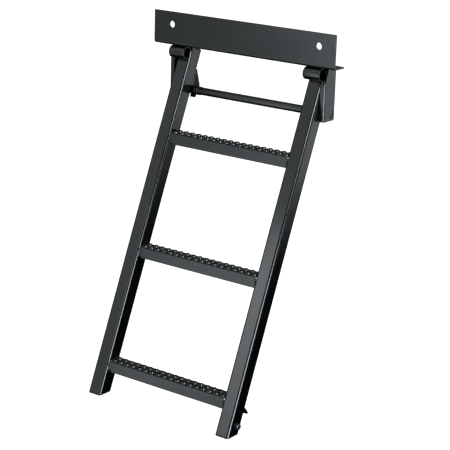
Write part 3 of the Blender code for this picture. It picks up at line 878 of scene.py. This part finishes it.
def hook(label, side):
    """A laser-cut hook, open towards the foot, fillet-welded to the rail."""
    rail_side = RAIL_DEPTH + GAP * 0.3
    mouth = BAR_RADIUS + BAR_CLEARANCE
    outline = rounded([                     # down, back, corner
        (BAR_DOWN, rail_side, 0),
        (0.0410, rail_side, 0),
        (0.0410, rail_side + 0.002, 0),
        (0.0690, 0.0580, 0.006),
        (0.0810, 0.0580, 0.006),
        (0.0970, 0.0540, 0.0015),
        (0.0970, 0.0508, 0.0008),
    ], 8) + [(BAR_DOWN, BAR_BACK + mouth)] + arc(BAR_DOWN, BAR_BACK, mouth, 90, 270, 24)[1:]
    low, high = BOX["hook_" + label]
    # The hook's darker, duller coat is painted shade, not a different finish.
    body = prism("hook_plate_" + label, outline, low.x, high.x, ladder_side, HOOK_PAINTED_SHADE_COAT)
    soften(body, 0.0005)
    keep(body, "ladder", "ladder_coat", "hook_" + label)
    for face, x in (("in", low.x + 0.0002), ("out", high.x - 0.0002)):
        path = [on_ladder(x, down, rail_side + 0.0004) for down in (0.0415, 0.0760)]
        weld("weld_hook_%s_%s" % (label, face), path, 0.0016, 90 + side, "ladder", "ladder_coat")


# ---------------------------------------------------------------- latch


BOLT_HEAD_RADIUS = 0.0064
BOLT_HEAD_HEIGHT = 0.0037
NUT_RADIUS = 0.0056
NUT_HEIGHT = 0.0048
THREAD_LENGTH = 0.0125
THREAD_PITCH = 0.0010
THREAD_ROOT = 0.0026
SHANK_RADIUS = 0.0030


def latch():
    """The sprung lever with its barb, and the bolt, nut and spring it turns on."""
    low, high = BOX["latch_pawl"]
    down, back = 0.7085, 0.0227             # the pivot
    under, heel, nose = 0.6820, 0.0296, 0.0502
    outline = arc(down, back, 0.0060, 80, -80, 20) + rounded([      # down, back, corner
        (down - 0.0185, back - 0.0052, 0.0060),
        (down - 0.0300, back - 0.0032, 0.0060),
        (under - 0.0143, heel - 0.0012, 0.0012),
        (under - 0.0047, nose - 0.0026, 0.0020),
        (under - 0.0017, nose, 0.0008),
        (under, nose, 0.0005),
        (under, heel, 0.0010),
        (down - 0.0060, heel, 0.0040),
    ], 6)
    pawl = prism("pawl_lever", outline, low.x, high.x, ladder_side, BLACK_STEEL)
    reach = Vector((0.03, 0, 0))
    boolean(pawl, "DIFFERENCE", cylinder("pawl_bore", 0.0032, PIVOT - reach, PIVOT + reach, 40))
    soften(pawl, 0.0004)
    keep(pawl, "latch", "pawl_steel", "latch_pawl")

    x_out = BOX["rail_right"][1].x + 0.0001
    x_in = BOX["rail_right"][0].x - 0.0001
    head = hexagon("bolt_hex", BOLT_HEAD_RADIUS, BOLT_HEAD_HEIGHT, x_out, 1)
    shank = threaded("bolt_shank", BOX["latch_bolt"][0].x, x_out + 0.001)
    bolt = join_pieces("latch_bolt_set", [head, shank])
    keep(bolt, "ladder", "bright_steel", "latch_bolt")
    nut = hexagon("latch_hex_nut", NUT_RADIUS, NUT_HEIGHT, x_in, -1)
    keep(nut, "ladder", "bright_steel", "latch_nut")
    spring()


def hexagon(name, radius, height, x, direction):
    """A hex with chamfered corners: a hexagonal prism met by a cone."""
    work = bmesh.new()
    sides = 48
    rings = []
    for along, cap in ((0.0, 1.0), (height - 0.0009, 1.0), (height - 0.0004, 0.955),
                       (height, 0.86), (height, 0.0)):
        ring = []
        for k in range(sides):
            angle = 2 * math.pi * k / sides
            from_flat = (angle + math.pi / 6) % (math.pi / 3) - math.pi / 6
            r = radius * min(math.cos(math.pi / 6) / math.cos(from_flat), cap)
            ring.append(work.verts.new((x + direction * along, PIVOT.y + r * math.cos(angle),
                                        PIVOT.z + r * math.sin(angle))))
        rings.append(ring)
    skin(work, rings)
    bmesh.ops.remove_doubles(work, verts=work.verts, dist=1e-6)
    work.faces.new(rings[0])
    return to_object(name, work, ZINC, 30)


def threaded(name, x0, x1):
    """A bolt shank with a rolled thread at its nut end."""
    profile = [(0, 0), (0, 0.0024)]
    at = 0.0004
    while at < THREAD_LENGTH:
        profile += [(at, THREAD_ROOT), (at + THREAD_PITCH / 2, SHANK_RADIUS)]
        at += THREAD_PITCH
    profile += [(THREAD_LENGTH + 0.001, SHANK_RADIUS), (x1 - x0, SHANK_RADIUS), (x1 - x0, 0)]
    return turned(name, profile, (x0, PIVOT.y, PIVOT.z), (1, 0, 0), ZINC, 40, 50)


def join_pieces(name, pieces):
    """One object from the meshes of several, which are used up."""
    material = pieces[0].data.materials[0]
    work = bmesh.new()
    for piece in pieces:
        work.from_mesh(piece.data)
        bpy.data.objects.remove(piece, do_unlink=True)
    obj = mesh_of(name, work, material)
    shade(obj, 30)
    return obj


def spring():
    """A torsion spring of round wire on the bolt, with two straight legs."""
    _, high = BOX["latch_spring"]
    wire, radius, turns, pitch, leg = 0.0006, 0.0045, 3, 0.0017, 0.0120
    steps = 28
    start = high.x - wire
    points = [(start, radius, leg)]
    for k in range(turns * steps + 1):
        angle = 2 * math.pi * k / steps
        points.append((start - pitch * k / steps, radius * math.cos(angle),
                       -radius * math.sin(angle)))
    points.append((points[-1][0], radius, leg))
    curve = bpy.data.curves.new("spring_wire", "CURVE")
    curve.dimensions = "3D"
    curve.bevel_depth = wire
    curve.bevel_resolution = 3
    curve.use_fill_caps = True
    spline = curve.splines.new("POLY")
    spline.points.add(len(points) - 1)
    for point, (x, back, up) in zip(spline.points, points):
        place = Vector((x, PIVOT.y, PIVOT.z)) - BACK * back - DOWN * up
        point.co = (*place, 1)
    path = link("spring_curve", curve)
    bpy.context.view_layer.update()
    graph = bpy.context.evaluated_depsgraph_get()
    data = bpy.data.meshes.new_from_object(path.evaluated_get(graph))
    bpy.data.objects.remove(path, do_unlink=True)
    data.materials.clear()
    data.materials.append(ZINC)
    coil = link("torsion_spring", data)
    shade(coil, 60)
    keep(coil, "ladder", "bright_steel", "latch_spring")


# ---------------------------------------------------------------- build

plate()
cross_bar()
for side_label, side_sign in SIDES:
    side_bracket(side_label, side_sign)
    barrel(side_label, side_sign)
    rail(side_label, side_sign)
    rail_caps(side_label, side_sign)
    hook(side_label, side_sign)
for tread_label in ("top", "middle", "bottom"):
    tread(tread_label)
latch()

# ---------------------------------------------------------------- stage, lights, camera

scene = bpy.context.scene
scene.view_settings.view_transform = "Standard"

FLOOR_SIZE = 30
FLOOR_DROP = 0.30
DOME_RADIUS = 29
STUDIO_TINT = (0.89, 0.965, 1.0)
CURTAIN = (-0.62, -0.78, 0)
CURTAIN_ACROSS = (-0.78, 0.62, 0)
CAMERA_PLACE = (1.75719, -2.40121, 0.48072)
CAMERA_ANGLES = (36.693, 16.3, 1.74)        # yaw, pitch and roll, in degrees
CAMERA_LENS = 122.15

# Name, place, the point it faces, width, height, radiance, and whether it only makes glints.
LIGHTS = (
    ("front_card_high", (-0.58, -1.25, 0.00), (0.10, -0.10, -0.50), 0.42, 0.32, 2.8, False),
    ("front_card_middle", (-0.42, -1.25, -0.30), (0.10, -0.10, -0.50), 0.30, 0.30, 2.9, False),
    ("front_card_low", (-0.62, -1.25, -0.85), (0.10, -0.10, -0.60), 0.50, 0.60, 1.4, False),
    ("corner_strip_high", (1.70, -1.15, 0.95), (0, -0.10, -0.20), 0.80, 0.90, 22.0, True),
    ("corner_strip_low", (1.70, -1.15, -0.50), (0, -0.10, -0.45), 0.80, 1.10, 18.0, True),
    ("rear_card", (0.80, 0.90, 0.03), (0, 0.90, 0.03), 1.40, 1.16, 1.38, False),
    ("rear_card_low", (0.80, 0.90, -0.62), (0, 0.90, -0.62), 1.40, 0.14, 0.30, False),
    ("top", (0.10, -0.30, 2.0), (0, -0.10, -0.30), 1.60, 0.50, 0.8, False),
)


def emission_material(name, color, strength):
    """An evenly glowing surface."""
    material = bpy.data.materials.new(name)
    material.use_nodes = True
    tree = material.node_tree
    tree.nodes.clear()
    out = node(tree, "ShaderNodeOutputMaterial")
    shader = node(tree, "ShaderNodeEmission")
    shader.inputs["Color"].default_value = (*color, 1)
    shader.inputs["Strength"].default_value = strength
    tree.links.new(shader.outputs[0], out.inputs[0])
    return material


def floor():
    """A pale floor that doesn't light or darken the object."""
    work = bmesh.new()
    bmesh.ops.create_grid(work, x_segments=1, y_segments=1, size=FLOOR_SIZE)
    material = bpy.data.materials.new("pale_floor")
    material.use_nodes = True
    shader = material.node_tree.nodes["Principled BSDF"]
    shader.inputs["Base Color"].default_value = (0.90, 0.90, 0.90, 1)
    shader.inputs["Roughness"].default_value = 0.9
    shader.inputs["Specular IOR Level"].default_value = 0.0
    shader.inputs["Emission Color"].default_value = (1, 1, 1, 1)
    shader.inputs["Emission Strength"].default_value = 1.0
    obj = to_object("pale_floor", work, material)
    obj.location = (0, 0, cad_low.z - FLOOR_DROP)
    for ray in ("visible_diffuse", "visible_glossy", "visible_shadow"):
        setattr(obj, ray, False)


def backdrop():
    """A white dome behind everything, seen by the camera only."""
    work = bmesh.new()
    bmesh.ops.create_uvsphere(work, u_segments=48, v_segments=24, radius=DOME_RADIUS)
    dome = to_object("white_dome", work, emission_material("white_dome", (1, 1, 1), 1.0), 180)
    for ray in ("visible_diffuse", "visible_glossy", "visible_transmission", "visible_shadow"):
        setattr(dome, ray, False)


def area_light(name, place, aim, width, height, radiance, glints):
    """A softbox at a place, facing a point, of even radiance."""
    data = bpy.data.lights.new(name, "AREA")
    data.shape = "RECTANGLE"
    data.size = width
    data.size_y = height
    data.energy = radiance * math.pi * width * height
    data.color = STUDIO_TINT
    lamp = bpy.data.objects.new(name, data)
    lamp.location = place
    lamp.rotation_euler = (Vector(aim) - lamp.location).to_track_quat("-Z", "Y").to_euler()
    lamp.visible_camera = False
    lamp.visible_diffuse = not glints
    scene.collection.objects.link(lamp)


def world():
    """A dim studio, paler overhead, at the front left and high behind, by direction."""
    studio = bpy.data.worlds.new("studio")
    scene.world = studio
    studio.use_nodes = True
    tree = studio.node_tree
    where = node(tree, "ShaderNodeTexCoord").outputs["Generated"]

    def along(direction):
        made = node(tree, "ShaderNodeVectorMath", operation="DOT_PRODUCT")
        tree.links.new(where, made.inputs[0])
        made.inputs[1].default_value = Vector(direction).normalized()
        return made.outputs["Value"]

    height = along((0, 0, 1))
    overhead = ramp(tree, height, 0.0, 1.0, 0.006, 0.20)
    # A tall curtain at the front left, brightest high up and near the floor.
    aside = node(tree, "ShaderNodeMath", operation="ABSOLUTE")
    tree.links.new(along(CURTAIN_ACROSS), aside.inputs[0])
    across = ramp(tree, aside.outputs[0], 0.22, 0.52, 1.0, 0.0)
    across.node.interpolation_type = "SMOOTHSTEP"
    facing = ramp(tree, along(CURTAIN), 0.0, 0.3)
    high = ramp(tree, height, -0.20, 0.26, 0.42, 0.90)
    low = ramp(tree, height, -0.42, -0.14, 0.72, 0.0)
    foot = ramp(tree, height, -0.75, -0.45)
    shape = math_node(tree, "MULTIPLY", across, facing)
    glow = math_node(tree, "MULTIPLY", foot, math_node(tree, "ADD", high, low))
    curtain = math_node(tree, "MULTIPLY", shape, glow)
    behind = ramp(tree, along((-0.60, 0.70, 0.60)), 0.76, 0.97, 0.0, 0.045)
    level = math_node(tree, "ADD", math_node(tree, "ADD", overhead, curtain), behind)
    background = tree.nodes["Background"]
    tree.links.new(level, background.inputs["Strength"])
    background.inputs["Color"].default_value = (*STUDIO_TINT, 1)


def camera():
    """The camera at the photograph's angle."""
    yaw, pitch, roll = (math.radians(a) for a in CAMERA_ANGLES)
    forward = Vector((-math.sin(yaw) * math.cos(pitch), math.cos(yaw) * math.cos(pitch),
                      -math.sin(pitch)))
    level = Vector((math.cos(yaw), math.sin(yaw), 0))
    above = level.cross(forward)
    right = level * math.cos(roll) + above * math.sin(roll)
    up = above * math.cos(roll) - level * math.sin(roll)
    data = bpy.data.cameras.new("camera")
    data.sensor_width = 36
    data.lens = CAMERA_LENS
    data.clip_end = 100
    cam = bpy.data.objects.new("camera", data)
    turn = Matrix((right, up, -forward)).transposed().to_4x4()
    cam.matrix_world = Matrix.Translation(CAMERA_PLACE) @ turn
    scene.collection.objects.link(cam)
    scene.camera = cam


floor()
backdrop()
world()
for light in LIGHTS:
    area_light(*light)
camera()
